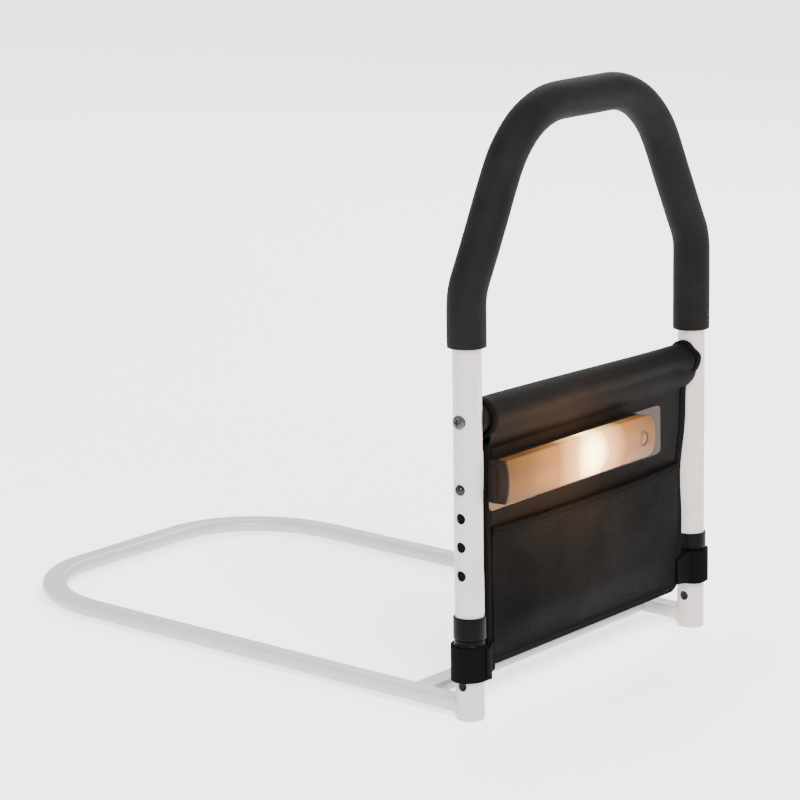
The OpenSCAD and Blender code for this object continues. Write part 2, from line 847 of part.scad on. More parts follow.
module lamp_end_screws() {
    color("silver") at_posts() at_cap_screws() difference() {
        union() {
            x_rod(cap_screw_d, 0.5, cap_t + 6);
            x_rod(cap_screw_head_d, 0.2, 1);
        }
        for (turn = [0, 90]) rotate([turn, 0, 0]) cube([1, 2.4, 0.5], center = true);
    }
}

module lamp_sensor_ring() {
    color([0.7, 0.6, 0.48]) at_posts() difference() {
        lamp_disc(sensor_d, sensor_x, lamp_z, lamp_depth - 2 * lamp_wall, lamp_depth - 0.1);
        lamp_disc(sensor_d - 1.6, sensor_x, lamp_z, lamp_depth - 3 * lamp_wall, lamp_depth + cut);
    }
}

module lamp_sensor_lens() {
    color([0.9, 0.8, 0.65]) at_posts() intersection() {
        lamp_disc(sensor_d - 1.6, sensor_x, lamp_z, lamp_depth - 2.4, lamp_depth);
        translate([sensor_x, lamp_back - lamp_depth + 20, lamp_z]) sphere(r = 20, $fn = 96);
    }
}

module lamp_charge_port() {
    color("silver") at_posts() difference() {
        lamp_box(lamp_x1 - 7.2, lamp_x1 - 0.2, port_z - 4.5, port_z + 4.5, 1.6, 4.8);
        lamp_box(lamp_x1 - 6.4, lamp_x1 + cut, port_z - 4, port_z + 4, 2.1, 4.3);
    }
}

module lamp_switch() {
    knob_low = switch_z - switch_travel / 2 - 2;
    color("gainsboro") at_posts() {
        lamp_box(lamp_x1 - lamp_wall - 0.3, lamp_x1 + 1, knob_low, knob_low + 4, 2.2, 4.2);
        lamp_box(lamp_x1 - lamp_wall - 1.3, lamp_x1 - lamp_wall - 0.3, knob_low - 1.5,
            knob_low + 5.5, 1.8, 4.8);
    }
}

base_hoop();
base_crossbar();
left_stub();
right_stub();
left_foot_plug();
right_foot_plug();
left_inner_tube();
right_inner_tube();
tube_rivets();
left_collar();
right_collar();
left_leaf_spring();
right_leaf_spring();
left_snap_button();
right_snap_button();
handle_tube();
foam_grip();
bag_bar();
bar_foam();
bar_plugs();
bar_screws();
bag_sleeve();
bag_panel();
bag_binding();
mesh_pocket();
pocket_hem();
left_strap();
right_strap();
lamp_sheet();
lamp_strip();
lamp_tray();
lamp_magnets();
lamp_battery();
lamp_board();
lamp_leds();
lamp_sensor();
lamp_diffuser();
lamp_end_cap();
lamp_end_screws();
lamp_sensor_ring();
lamp_sensor_lens();
lamp_charge_port();
lamp_switch();
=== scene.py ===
"""The looks of a bed assist rail: a white tube frame, a foam-covered handle and a bag with a lamp."""

import json
import math

import bpy
from mathutils import Matrix, Vector
from mathutils.noise import noise

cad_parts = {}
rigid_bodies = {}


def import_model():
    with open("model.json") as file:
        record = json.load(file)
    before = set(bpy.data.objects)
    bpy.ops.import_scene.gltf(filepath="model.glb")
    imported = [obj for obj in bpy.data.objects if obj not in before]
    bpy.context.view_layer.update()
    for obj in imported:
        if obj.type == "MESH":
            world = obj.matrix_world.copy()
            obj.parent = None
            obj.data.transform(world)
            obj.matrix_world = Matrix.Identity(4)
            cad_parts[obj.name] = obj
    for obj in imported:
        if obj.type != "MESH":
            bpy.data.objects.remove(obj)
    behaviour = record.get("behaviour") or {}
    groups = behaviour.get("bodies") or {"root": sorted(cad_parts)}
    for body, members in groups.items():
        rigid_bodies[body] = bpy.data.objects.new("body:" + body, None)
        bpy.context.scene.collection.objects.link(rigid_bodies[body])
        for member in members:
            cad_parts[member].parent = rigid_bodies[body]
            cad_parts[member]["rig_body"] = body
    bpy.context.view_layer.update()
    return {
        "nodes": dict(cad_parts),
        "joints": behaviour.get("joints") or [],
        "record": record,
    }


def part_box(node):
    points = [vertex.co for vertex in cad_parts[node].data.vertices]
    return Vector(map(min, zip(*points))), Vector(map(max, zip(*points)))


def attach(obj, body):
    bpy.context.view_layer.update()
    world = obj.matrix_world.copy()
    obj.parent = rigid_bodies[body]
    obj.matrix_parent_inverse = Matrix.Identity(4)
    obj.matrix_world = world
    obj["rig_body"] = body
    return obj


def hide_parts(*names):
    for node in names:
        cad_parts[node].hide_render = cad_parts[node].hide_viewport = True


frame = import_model()
nodes = frame["nodes"]
MM = 0.001

# ---- the posts' own frame: Z runs up a post, and Y = 0 is the middle of the posts ----
slide_axis = next(j["axis"] for j in frame["joints"] if j["name"] == "handle_slide")
lean = math.atan2(slide_axis[1], slide_axis[2])
foot_y = next(m["pos_m"][1] for m in frame["record"]["mounts"] if m["name"] == "left_foot")
POST = Matrix.Translation((0, foot_y, 0)) @ Matrix.Rotation(-lean, 4, "X")
TO_POST = POST.inverted()


def post_box(node):
    """A CAD node's lowest and highest corners in the posts' own frame."""
    points = [TO_POST @ v.co for v in nodes[node].data.vertices]
    low = Vector([min(p[i] for p in points) for i in range(3)])
    high = Vector([max(p[i] for p in points) for i in range(3)])
    return low, high


# ---- camera, lights and floor ----

def camera():
    yaw = math.radians(54.18)
    pitch = math.radians(-13.32)
    roll = math.radians(1.66)
    ahead = Vector((math.sin(yaw) * math.cos(pitch), math.cos(yaw) * math.cos(pitch), math.sin(pitch)))
    level = Vector((math.cos(yaw), -math.sin(yaw), 0))
    above = level.cross(ahead)
    right = level * math.cos(roll) + above * math.sin(roll)
    up = above * math.cos(roll) - level * math.sin(roll)
    data = bpy.data.cameras.new("camera")
    data.sensor_width = 36
    data.lens = 150.7
    data.clip_end = 100
    obj = bpy.data.objects.new("camera", data)
    obj.matrix_world = Matrix((right, up, -ahead)).transposed().to_4x4()
    obj.location = (-2.1468, -1.3604 + foot_y, 0.8152)
    bpy.context.scene.collection.objects.link(obj)
    bpy.context.scene.camera = obj


def area_light(name, place, target, size, power, colour=(1, 1, 1)):
    data = bpy.data.lights.new(name, "AREA")
    data.shape = "SQUARE"
    data.size = size
    data.energy = power
    data.color = colour
    obj = bpy.data.objects.new(name, data)
    obj.location = place
    obj.rotation_euler = (Vector(target) - Vector(place)).to_track_quat("-Z", "Y").to_euler()
    bpy.context.scene.collection.objects.link(obj)


def studio():
    world = bpy.data.worlds.new("studio")
    bpy.context.scene.world = world
    world.use_nodes = True
    sky = world.node_tree.nodes["Background"]
    sky.inputs["Color"].default_value = (1, 1, 1, 1)
    sky.inputs["Strength"].default_value = 1.55
    area_light("key", (-1.6, -2.2, 2.4), (0, 0, 0.2), 1.2, 165)
    area_light("fill", (-2.6, 1.2, 1.6), (0, 0, 0.2), 2.0, 30)
    area_light("rim", (2.2, 1.0, 1.8), (0, 0, 0.25), 1.4, 40)
    lens_mid = POST @ Vector((between(lens_low.x, lens_high.x, LIT_SHARE), lens_low.y,
                              (lens_low.z + lens_high.z) / 2))
    for name, side in (("glow_up", 1), ("glow_down", -1)):
        place = lens_mid + Vector((0, -0.05, side * 0.03))
        target = lens_mid + Vector((0, 0.03, side * 0.03))
        area_light(name, place, target, 0.05, 0.26, (1.0, 0.42, 0.1))
    nothing_selected()
    bpy.ops.mesh.primitive_plane_add(size=30)
    floor = bpy.context.active_object
    floor.name = "floor"
    floor.data.materials.append(floor_finish())


def nothing_selected():
    bpy.ops.object.select_all(action="DESELECT")


# ---- finishes ----

class Value:
    """A shader value; arithmetic on it adds Math nodes."""

    def __init__(self, finish, socket):
        self.finish = finish
        self.socket = socket

    def math(self, operation, other=0.0, swapped=False):
        first, second = (other, self) if swapped else (self, other)
        return self.finish.node("Math", {0: first, 1: second}, operation=operation)

    def __add__(self, other):
        return self.math("ADD", other)

    def __sub__(self, other):
        return self.math("SUBTRACT", other)

    def __rsub__(self, other):
        return self.math("SUBTRACT", other, True)

    def __mul__(self, other):
        return self.math("MULTIPLY", other)

    def __truediv__(self, other):
        return self.math("DIVIDE", other)

    def __pow__(self, other):
        return self.math("POWER", other)

    __radd__ = __add__
    __rmul__ = __mul__

    def sine(self):
        return self.math("SINE")

    def size(self):
        return self.math("ABSOLUTE")

    def above(self, edge, softness):
        """0 below edge and 1 above it, with a soft step."""
        ends = {"Value": self, "From Min": edge - softness, "From Max": edge + softness}
        return self.finish.node("MapRange", ends, interpolation_type="SMOOTHSTEP")


class Finish:
    """A material with one Principled shader, and short ways to add nodes."""

    def __init__(self, name, **sockets):
        self.material = bpy.data.materials.new(name)
        self.material.use_nodes = True
        self.tree = self.material.node_tree
        self.shader = self.tree.nodes["Principled BSDF"]
        for key, value in sockets.items():
            self.feed(self.shader.inputs[key.replace("_", " ")], value)

    def feed(self, socket, value):
        if isinstance(value, Value):
            self.tree.links.new(value.socket, socket)
        elif isinstance(value, tuple) and len(value) == 3 and socket.type == "RGBA":
            socket.default_value = (*value, 1)
        else:
            socket.default_value = value

    def node(self, kind, inputs=(), output=0, stops=(), **settings):
        node = self.tree.nodes.new("ShaderNode" + kind)
        for key, value in settings.items():
            setattr(node, key, value)
        for i, (place, colour) in enumerate(stops):
            stop = node.color_ramp.elements[i] if i < 2 else node.color_ramp.elements.new(place)
            stop.position = place
            stop.color = (*colour, 1)
        for key, value in dict(inputs).items():
            self.feed(node.inputs[key], value)
        return Value(self, node.outputs[output])

    def place(self, kind="Object", scale=(1, 1, 1)):
        where = self.node("TexCoord", output=kind)
        return self.node("Mapping", {"Vector": where, "Scale": scale})

    def axis(self, where, name):
        return self.node("SeparateXYZ", {0: where}, output=name)

    def cloud(self, where, scale, detail=2.0, roughness=0.5):
        values = {"Vector": where, "Scale": scale, "Detail": detail, "Roughness": roughness}
        return self.node("TexNoise", values, output="Fac")

    def cells(self, where, scale, feature="F1"):
        return self.node("TexVoronoi", {"Vector": where, "Scale": scale}, output="Distance", feature=feature)

    def blend(self, factor, first, second):
        values = {"Factor": factor, 6: first, 7: second}
        return self.node("Mix", values, output=2, data_type="RGBA")

    def colour(self, value):
        self.feed(self.shader.inputs["Base Color"], value)

    def rough(self, value):
        self.feed(self.shader.inputs["Roughness"], value)

    def bump(self, height, strength, distance):
        values = {"Height": height, "Strength": strength, "Distance": distance}
        self.feed(self.shader.inputs["Normal"], self.node("Bump", values))

    def done(self):
        return self.material


def floor_finish():
    finish = Finish("pale_floor", Roughness=0.6, Emission_Color=(1, 1, 1), Emission_Strength=1.5)
    where = finish.place()
    finish.colour(finish.blend(finish.cloud(where, 3), (0.93, 0.93, 0.93), (0.96, 0.96, 0.96)))
    return finish.done()


def powder_coat(name, colour, shade):
    """Satin powder coat: a fine orange peel, faint handling marks and a little dust."""
    finish = Finish(name, Coat_Weight=0.25, Coat_Roughness=0.18)
    where = finish.place()
    peel = finish.cloud(where, 900, 3)
    marks = finish.cloud(where, 26, 5, 0.62)
    dust = finish.cells(where, 420).above(0.1, 0.03)
    finish.colour(finish.blend(marks.above(0.58, 0.2) * 0.6 + (1 - dust) * 0.25, colour, shade))
    finish.rough(0.3 + marks * 0.16 + peel * 0.05)
    finish.bump(peel * 0.7 + finish.cloud(where, 260, 2), 0.12, 0.0004)
    return finish.done()


def moulded(name, colour, shade, rough=0.42, grain=1400, shine=0.3):
    """Moulded plastic: a fine spark-eroded grain and rubbed patches."""
    finish = Finish(name, Specular_IOR_Level=shine)
    where = finish.place()
    fine = finish.cloud(where, grain, 2)
    rubbed = finish.cloud(where, 45, 5, 0.65)
    finish.colour(finish.blend(rubbed.above(0.6, 0.14), colour, shade))
    finish.rough(rough + 0.16 * fine - rubbed * 0.14)
    finish.bump(fine, 0.16, 0.00025)
    return finish.done()


def metal(name, colour, shade, rough, brushed):
    """Plated or brushed metal: fine drawn lines and a few dull patches."""
    finish = Finish(name, Metallic=1.0)
    where = finish.place()
    lines = finish.cloud(finish.place(scale=(1, 1, brushed)), 500, 4, 0.7)
    dull = finish.cloud(where, 120, 4, 0.6)
    finish.colour(finish.blend(dull.above(0.55, 0.2), colour, shade))
    finish.rough(rough + 0.12 * lines + 0.12 * dull)
    finish.bump(lines, 0.1, 0.0001)
    return finish.done()


def foam_finish():
    """Closed-cell foam: small open pores under a rubbed skin."""
    finish = Finish("grip_foam", Specular_IOR_Level=0.1)
    where = finish.place()
    pores = finish.cells(where, 1100)
    fine = finish.cloud(where, 1900, 3)
    skin = finish.cloud(where, 34, 4, 0.6)
    finish.colour(finish.blend(skin.above(0.52, 0.2), (0.0022, 0.0022, 0.0023), (0.0045, 0.0045, 0.0046)))
    finish.rough(0.56 + fine * 0.18 + skin * 0.1)
    finish.bump(pores.above(0.35, 0.3) * 0.8 + fine * 0.5 + skin * 0.9, 0.3, 0.0005)
    return finish.done()


def weave_height(finish, along, across, pitch):
    """A plain weave: warp and weft threads that pass over each other."""
    turn = 2 * math.pi / pitch
    warp = (along * turn).sine()
    weft = (across * turn).sine()
    over = (along * (turn / 2)).sine() * (across * (turn / 2)).sine()
    return warp.size() * over.above(0, 0.25) + weft.size() * (1 - over.above(0, 0.25))


def cloth_finish():
    """Coated woven polyester."""
    finish = Finish("bag_cloth", Specular_IOR_Level=0.06)
    uv = finish.place("UV")
    across, along = finish.axis(uv, "X"), finish.axis(uv, "Y")
    weave = weave_height(finish, along, across, 0.0011)
    where = finish.place()
    worn = finish.cloud(where, 28, 5, 0.6)
    finish.colour(finish.blend(weave * 0.5 + worn.above(0.52, 0.2) * 0.5,
                               (0.0014, 0.0014, 0.0014), (0.0045, 0.0043, 0.0042)))
    finish.rough(0.62 + worn * 0.2 - weave * 0.08)
    finish.bump(weave + finish.cloud(where, 240, 3) * 0.6, 0.35, 0.00035)
    return finish.done()


def mesh_finish():
    """Spacer mesh: staggered round holes between raised knitted ribs, the holes filled with painted shade."""
    finish = Finish("bag_mesh", Specular_IOR_Level=0.03)
    uv = finish.place("UV")
    across, along = finish.axis(uv, "X"), finish.axis(uv, "Y")
    turn_across = math.pi / 0.0024
    turn_along = math.pi / 0.0038
    knots = ((across * turn_across + along * turn_along).sine()
             * (across * turn_across - along * turn_along).sine())
    holes_with_painted_shade = knots.size().above(0.62, 0.16)
    knit = finish.cloud(uv, 2600, 2)
    tone = finish.cloud(finish.place(), 14, 3).above(0.5, 0.3)
    rib = finish.blend(tone, (0.0016, 0.0016, 0.0016), (0.0075, 0.0074, 0.0073))
    # the holes are painted near black: painted shade inside each hole, darker than the cloth behind it
    finish.colour(finish.blend(holes_with_painted_shade, rib, (0.0004, 0.0004, 0.0004)))
    finish.rough(0.5 + knit * 0.2 + holes_with_painted_shade * 0.3)
    finish.bump((1 - holes_with_painted_shade) + knit * 0.3, 0.9, 0.0009)
    return finish.done()


def tape_finish(name, colour, shade, rib):
    """Ribbed tape or webbing: ribs across it and rows of yarn along it."""
    finish = Finish(name, Specular_IOR_Level=0.04)
    uv = finish.place("UV")
    across, along = finish.axis(uv, "X"), finish.axis(uv, "Y")
    ribs = (along * (2 * math.pi / rib)).sine() * 0.5 + 0.5
    yarn = (across * (2 * math.pi / 0.0008)).sine() * 0.5 + 0.5
    fuzz = finish.cloud(finish.place(), 1300, 4, 0.7)
    finish.colour(finish.blend(ribs * 0.35 + fuzz * 0.65, colour, shade))
    finish.rough(0.7 + fuzz * 0.2)
    finish.bump(ribs * 0.7 + yarn * 0.35 + fuzz * 0.6, 0.4, 0.0004)
    return finish.done()


def thread_finish():
    finish = Finish("thread", Specular_IOR_Level=0.15)
    twist = finish.cloud(finish.place(), 3000, 2)
    finish.colour(finish.blend(twist, (0.0015, 0.0015, 0.0015), (0.005, 0.005, 0.005)))
    finish.rough(0.55 + twist * 0.2)
    finish.bump(twist, 0.3, 0.0001)
    return finish.done()


def diffuser_finish(middle, height, half):
    """Frosted plastic, lit from behind: brightest at the middle, dim at both ends."""
    finish = Finish("diffuser", Specular_IOR_Level=0.12, Emission_Strength=11.0, Subsurface_Weight=0.2,
                    Subsurface_Scale=0.004, Roughness=0.35)
    where = finish.place()
    across = (finish.axis(where, "X") - middle) / half
    up = (finish.axis(where, "Z") - height) / half
    offset = (across * across + up * up) ** 0.5
    ramp = [(0.0, (1.0, 0.78, 0.46)), (0.08, (0.85, 0.6, 0.3)), (0.2, (0.2, 0.115, 0.048)),
            (0.42, (0.03, 0.014, 0.0045)), (0.75, (0.006, 0.0026, 0.0008)), (1.0, (0.002, 0.0009, 0.0003))]
    finish.feed(finish.shader.inputs["Emission Color"], finish.node("ValToRGB", {0: offset}, stops=ramp))
    haze = finish.cloud(where, 60, 4)
    finish.colour(finish.blend(haze, (0.082, 0.036, 0.009), (0.1, 0.045, 0.012)))
    finish.rough(0.34 + haze * 0.12)
    finish.bump(finish.cloud(where, 1500, 2), 0.06, 0.0002)
    return finish.done()


def film_finish():
    finish = Finish("clear_film", Alpha=0.5, Specular_IOR_Level=0.25)
    where = finish.place()
    haze = finish.cloud(where, 40, 4)
    finish.colour(finish.blend(haze, (0.05, 0.034, 0.024), (0.08, 0.057, 0.043)))
    finish.rough(0.22 + haze * 0.2)
    finish.bump(finish.cloud(where, 90, 3), 0.25, 0.0006)
    return finish.done()


WHITE = powder_coat("white_coat", (0.44, 0.408, 0.395), (0.37, 0.343, 0.332))
BLACK = moulded("black_plastic", (0.0012, 0.0012, 0.0013), (0.003, 0.003, 0.003), 0.38, 1400, 0.06)
DARK_COAT = moulded("dark_coat", (0.001, 0.001, 0.001), (0.002, 0.002, 0.002), 0.5, 900, 0.04)
ZINC = metal("zinc", (0.075, 0.073, 0.07), (0.035, 0.034, 0.033), 0.22, 1)
CHROME = metal("chrome", (0.035, 0.035, 0.036), (0.022, 0.022, 0.0225), 0.06, 1)
FOAM = foam_finish()
CLOTH = cloth_finish()
MESH = mesh_finish()
BINDING = tape_finish("binding_tape", (0.001, 0.001, 0.001), (0.003, 0.0029, 0.0028), 0.0012)
WEBBING = tape_finish("webbing", (0.0008, 0.0008, 0.0008), (0.0028, 0.0028, 0.0028), 0.0016)
THREAD = thread_finish()
SHELL = moulded("lamp_shell", (0.0105, 0.0075, 0.006), (0.015, 0.011, 0.009), 0.4, 1400, 0.1)
CAP = moulded("lamp_cap", (0.012, 0.0068, 0.004), (0.016, 0.0092, 0.0055), 0.4, 1400, 0.1)
RING = moulded("sensor_ring", (0.035, 0.018, 0.008), (0.045, 0.024, 0.011), 0.35)
LENS = moulded("sensor_lens", (0.085, 0.04, 0.012), (0.1, 0.05, 0.017), 0.3, 500)
BOARD = moulded("circuit", (0.62, 0.66, 0.6), (0.7, 0.73, 0.68), 0.4)
WRAP = moulded("cell_wrap", (0.05, 0.16, 0.34), (0.08, 0.2, 0.4), 0.25)
CHIP = moulded("light_chip", (0.8, 0.6, 0.18), (0.85, 0.66, 0.24), 0.3)
FILM = film_finish()

# what each CAD node that stays is made of
CAD_FINISHES = {
    "base_hoop": WHITE, "base_crossbar": WHITE, "left_stub": WHITE, "right_stub": WHITE,
    "left_foot_plug": WHITE, "right_foot_plug": WHITE, "handle_tube": WHITE, "bag_bar": WHITE,
    "left_inner_tube": DARK_COAT, "right_inner_tube": DARK_COAT,
    "tube_rivets": ZINC, "left_leaf_spring": ZINC, "right_leaf_spring": ZINC, "bar_plugs": ZINC,
    "bar_screws": ZINC, "lamp_strip": ZINC, "lamp_magnets": ZINC, "lamp_sensor": ZINC,
    "lamp_end_screws": SHELL, "lamp_charge_port": ZINC,
    "left_snap_button": CHROME, "right_snap_button": CHROME,
    "lamp_battery": WRAP, "lamp_board": BOARD, "lamp_leds": CHIP, "lamp_sensor_lens": LENS,
    "lamp_sensor_ring": RING, "lamp_switch": BLACK,
}


def dress_cad_nodes():
    for name, finish in CAD_FINISHES.items():
        for material_slot in nodes[name].material_slots:
            material_slot.material = finish


# ---- making pieces ----

def stand(piece, name, finish, body, *replaced):
    """Puts a piece made in the posts' own frame in its place, with its finish and its body."""
    piece.name = name
    piece.data.name = name
    piece.data.transform(POST)
    finish_off(piece, finish, body, *replaced)


def finish_off(piece, finish, body, *replaced):
    piece.data.materials.clear()
    piece.data.materials.append(finish)
    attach(piece, body)
    if replaced:
        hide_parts(*replaced)


def select_only(piece):
    nothing_selected()
    piece.select_set(True)
    bpy.context.view_layer.objects.active = piece


def modify(piece, kind, **settings):
    select_only(piece)
    modifier = piece.modifiers.new(kind.lower(), kind)
    for key, value in settings.items():
        setattr(modifier, key, value)
    bpy.ops.object.modifier_apply(modifier=modifier.name)


def smooth(piece, angle=40):
    select_only(piece)
    bpy.ops.object.shade_smooth_by_angle(angle=math.radians(angle))


def sheet_of(columns, rows, place, size, thickness=0.0, offset=0.0):
    """A grid of cloth: place(u, v) gives each point, and the UV map is in metres."""
    nothing_selected()
    bpy.ops.mesh.primitive_grid_add(x_subdivisions=columns, y_subdivisions=rows, size=2)
    piece = bpy.context.active_object
    for corner in piece.data.uv_layers[0].data:
        corner.uv = (corner.uv[0] * size[0], corner.uv[1] * size[1])
    for vertex in piece.data.vertices:
        vertex.co = place((vertex.co.x + 1) / 2, (vertex.co.y + 1) / 2)
    if thickness:
        modify(piece, "SOLIDIFY", thickness=thickness, offset=offset, use_even_offset=True)
    smooth(piece, 60)
    return piece


def between(low, high, share):
    return low + (high - low) * share


def ease(value):
    value = min(1.0, max(0.0, value))
    return value * value * (3 - 2 * value)


def ripple(x, z, seed, scale=30.0):
    return noise(Vector((x * scale, z * scale, seed)))


def softened(node, width, finish, segments=2):
    """A copy of a CAD node with its sharp edges rounded, which stands for it."""
    mesh = nodes[node].data.copy()
    piece = bpy.data.objects.new(node + "_shell", mesh)
    bpy.context.scene.collection.objects.link(piece)
    select_only(piece)
    bpy.ops.object.mode_set(mode="EDIT")
    bpy.ops.mesh.select_all(action="SELECT")
    bpy.ops.mesh.remove_doubles(threshold=1e-6)
    bpy.ops.mesh.dissolve_limited(angle_limit=math.radians(0.5))
    bpy.ops.object.mode_set(mode="OBJECT")
    modify(piece, "BEVEL", width=width, segments=segments, limit_method="ANGLE",
           angle_limit=math.radians(35), use_clamp_overlap=True)
    smooth(piece, 35)
    finish_off(piece, finish, nodes[node]["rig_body"], node)
    return piece


# ---- sizes taken from the frame ----

bar_low, bar_high = post_box("bar_foam")
panel_low, panel_high = post_box("bag_panel")
sleeve_low, sleeve_high = post_box("bag_sleeve")
pocket_low, pocket_high = post_box("mesh_pocket")
film_low, film_high = post_box("lamp_sheet")
lens_low, lens_high = post_box("lamp_diffuser")
collar_low, collar_high = post_box("right_collar")
stub_low, stub_high = post_box("right_stub")
bar_z = (bar_low.z + bar_high.z) / 2
bar_r = (bar_high.z - bar_low.z) / 2
rod_low, rod_high = post_box("bag_bar")
tube_skin = (rod_high.z - rod_low.z) / 2
post_x = (collar_low.x + collar_high.x) / 2
collar_r = (collar_high.x - collar_low.x) / 2
tube_r = (stub_high.x - stub_low.x) / 2
panel_y = (panel_low.y + panel_high.y) / 2
cloth_t = 1.3 * MM
loop_r = bar_r + 1.3 * MM
seam_z = bar_z - loop_r - 11 * MM
bag_low = panel_low.z - 4.5 * MM
corner_r = 14 * MM
LIT_SHARE = 0.56                  # how far along the lamp its light is brightest
STRAP_TURN = 418                  # how far a strap goes round its collar, in degrees
STITCH = (3.2 * MM, 2.3 * MM, 0.24 * MM)     # pitch, length and thread radius


# ---- foam ----

def handle_foam():
    """The grip: one ring swept up a leg, round both bends of each side and down again."""
    foam_low, foam_high = post_box("foam_grip")
    radius = (foam_high.y - foam_low.y) / 2
    left_end = min(v.z for v in (TO_POST @ w.co for w in nodes["foam_grip"].data.vertices) if v.x < 0)
    right_end = min(v.z for v in (TO_POST @ w.co for w in nodes["foam_grip"].data.vertices) if v.x > 0)
    side_lean = math.radians(29)
    side_bend_r = 41 * MM
    top_bend_r = 91 * MM
    top_z = foam_high.z - radius
    bend_z = top_z - 141 * MM
    side_x = post_x - side_bend_r * (1 - math.cos(side_lean))
    side_z = bend_z + side_bend_r * math.sin(side_lean)
    arc_z = top_z - top_bend_r
    side_l = (arc_z + top_bend_r * math.sin(side_lean) - side_z) / math.cos(side_lean)
    top_half = side_x - side_l * math.sin(side_lean) - top_bend_r * math.cos(side_lean)
    nothing_selected()
    bpy.ops.mesh.primitive_circle_add(vertices=48, radius=radius, location=(post_x, 0, right_end))
    piece = bpy.context.active_object
    bpy.ops.object.transform_apply(location=True)
    bpy.ops.object.mode_set(mode="EDIT")
    bpy.ops.mesh.select_all(action="SELECT")

    def run(length, direction, steps):
        for _ in range(steps):
            bpy.ops.mesh.extrude_edges_move(TRANSFORM_OT_translate={"value": direction * (length / steps)})

    def turn(centre, angle, steps):
        bpy.ops.mesh.spin(steps=steps, angle=angle, center=centre, axis=(0, 1, 0))

    up = Vector((0, 0, 1))
    slope_in = Vector((-math.sin(side_lean), 0, math.cos(side_lean)))
    slope_out = Vector((-math.sin(side_lean), 0, -math.cos(side_lean)))
    run(bend_z - right_end, up, 14)
    turn((post_x - side_bend_r, 0, bend_z), side_lean, 8)
    run(side_l, slope_in, 18)
    turn((top_half, 0, arc_z), math.pi / 2 - side_lean, 26)
    run(2 * top_half, Vector((-1, 0, 0)), 14)
    turn((-top_half, 0, arc_z), math.pi / 2 - side_lean, 26)
    run(side_l, slope_out, 18)
    turn((side_bend_r - post_x, 0, bend_z), side_lean, 8)
    run(bend_z - left_end, -up, 10)
    bpy.ops.mesh.select_all(action="SELECT")
    bpy.ops.mesh.remove_doubles(threshold=1e-6)
    bpy.ops.mesh.normals_make_consistent(inside=False)
    bpy.ops.object.mode_set(mode="OBJECT")
    return piece


def finish_foam(piece):
    modify(piece, "SOLIDIFY", thickness=3.9 * MM, offset=-1)
    modify(piece, "BEVEL", width=0.8 * MM, segments=3, limit_method="ANGLE", angle_limit=math.radians(60))
    for vertex in piece.data.vertices:
        normal = vertex.normal
        lump = noise(vertex.co * 38) * 0.22 + noise(vertex.co * 120) * 0.07
        vertex.co += normal * (lump * MM - 0.1 * MM)
    smooth(piece, 50)


def roll_radius(x):
    """The foam roll is full at its left end, and squeezed thinner towards its right end."""
    share = (x - sleeve_low.x) / (sleeve_high.x - sleeve_low.x)
    return between(bar_r - 0.5 * MM, tube_skin + 0.5 * MM, ease(share))


def bar_foam_roll():
    """The foam on the bag bar: a thick tube, squeezed by the sleeve, its ends pressed round the legs."""
    nothing_selected()
    bpy.ops.mesh.primitive_grid_add(x_subdivisions=64, y_subdivisions=80, size=2)
    piece = bpy.context.active_object
    for vertex in piece.data.vertices:
        angle = vertex.co.y * math.pi
        share = vertex.co.x
        y = math.cos(angle) * bar_r
        notch = post_x - math.sqrt(max(tube_r * tube_r - y * y, (4 * MM) ** 2)) - 0.6 * MM
        x = share * notch
        radius = roll_radius(x) + 0.15 * MM * ripple(x, angle * 0.03, 3, 40)
        vertex.co = (x, radius * math.cos(angle), bar_z + radius * math.sin(angle))
    bpy.ops.object.mode_set(mode="EDIT")
    bpy.ops.mesh.select_all(action="SELECT")
    bpy.ops.mesh.remove_doubles(threshold=1e-6)
    bpy.ops.mesh.normals_make_consistent(inside=False)
    bpy.ops.object.mode_set(mode="OBJECT")
    modify(piece, "SOLIDIFY", thickness=1 * MM, offset=-1)
    for vertex in piece.data.vertices:
        out = Vector((0, vertex.co.y, vertex.co.z - bar_z))
        if out.length < roll_radius(vertex.co.x) - 0.6 * MM:
            out *= (tube_skin + 0.05 * MM) / out.length
            vertex.co = (vertex.co.x, out.y, bar_z + out.z)
    smooth(piece, 50)
    stand(piece, "bar_foam_roll", FOAM, "handle", "bar_foam")
    return piece


# ---- bag ----

def edge_x(side, z):
    """Where the bag's left (-1) or right (1) edge is at a height."""
    low_z = bag_low
    height = (z - low_z) / (seam_z - low_z)
    if side < 0:
        edge = panel_low.x + 0.5 * MM * math.sin(height * 9)
    else:
        wave = 1.5 * math.sin(height * 7.2 + 0.6) + 0.7 * math.sin(height * 17 + 1)
        edge = between(panel_high.x - 11 * MM, panel_high.x - 1.5 * MM, height) + wave * MM * ease(height * 4)
    drop = low_z + corner_r - z
    if drop > 0:
        edge -= side * (corner_r - math.sqrt(max(0, corner_r * corner_r - drop * drop)))
    return edge


def panel_offset(x, z):
    """How far the hanging panel stands in front of its plane: soft folds that fade at the edges."""
    across = (x - panel_low.x) / (panel_high.x - panel_low.x)
    height = (z - bag_low) / (seam_z - bag_low)
    fold = ripple(x, z, 3, 14) * 1.3 + ripple(x, z * 0.4, 8, 40) * 0.45
    pull = math.exp(-((across - 1) / 0.12) ** 2) * math.sin(height * 8) * 1.2
    return -(fold + pull) * MM * ease(4 * height * (1.02 - height)) * 0.7


